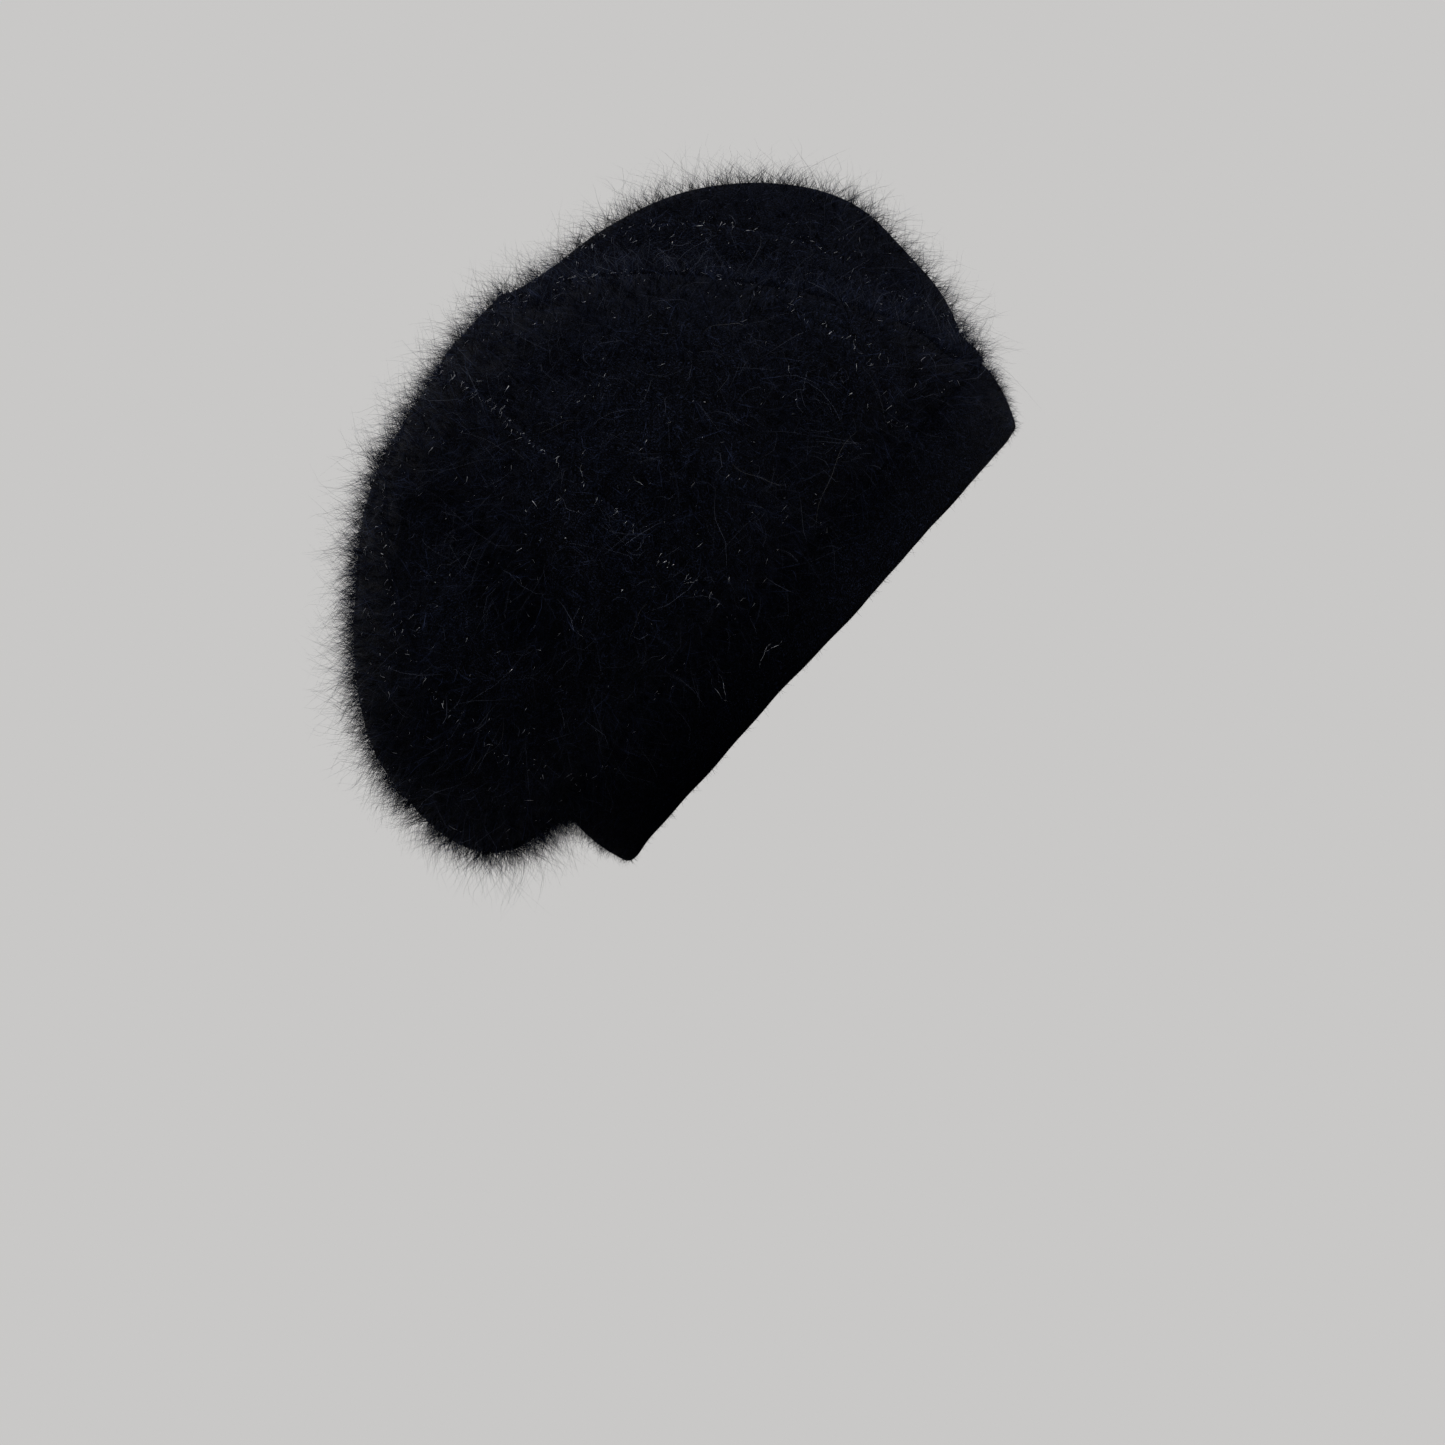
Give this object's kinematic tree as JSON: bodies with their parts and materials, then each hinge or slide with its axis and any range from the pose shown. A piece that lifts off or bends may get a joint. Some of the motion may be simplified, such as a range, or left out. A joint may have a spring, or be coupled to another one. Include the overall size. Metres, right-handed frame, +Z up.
{
  "type": "beret",
  "caption": "Black fluffy knitted beret with a deep gored crown slouched over a folded band.",
  "frame": {"origin": "centre of the head opening, in the plane of the band's lower edge", "axes": "+Z up along the hat's own axis, away from the head; -Y towards the front of the hat; -X towards the wearer's right"},
  "size_m": [0.2326, 0.2599, 0.164],
  "materials": {
    "angora_knit": "fluffy knit",
    "linking_yarn": "knitting yarn",
    "elastic": "woven elastic tape",
    "woven_label": "woven damask",
    "satin_label": "satin",
    "sewing_thread": "polyester thread",
    "lurex": "metallised film yarn"
  },
  "bodies": {
    "root": {"crown_gore_1": "angora_knit", "crown_gore_2": "angora_knit", "crown_gore_3": "angora_knit", "crown_gore_4": "angora_knit", "crown_gore_5": "angora_knit", "crown_gore_6": "angora_knit", "crown_gore_7": "angora_knit", "crown_gore_8": "angora_knit", "gore_seam_1": "linking_yarn", "gore_seam_2": "linking_yarn", "gore_seam_3": "linking_yarn", "gore_seam_4": "linking_yarn", "gore_seam_5": "linking_yarn", "gore_seam_6": "linking_yarn", "gore_seam_7": "linking_yarn", "gore_seam_8": "linking_yarn", "crown_closing": "linking_yarn", "crown_band_seam": "linking_yarn", "band": "angora_knit", "band_back_seam": "linking_yarn", "band_elastic": "elastic", "size_label": "woven_label", "size_label_stitches": "sewing_thread", "care_label": "satin_label", "care_label_stitches": "sewing_thread"}
  },
  "joints": []
}
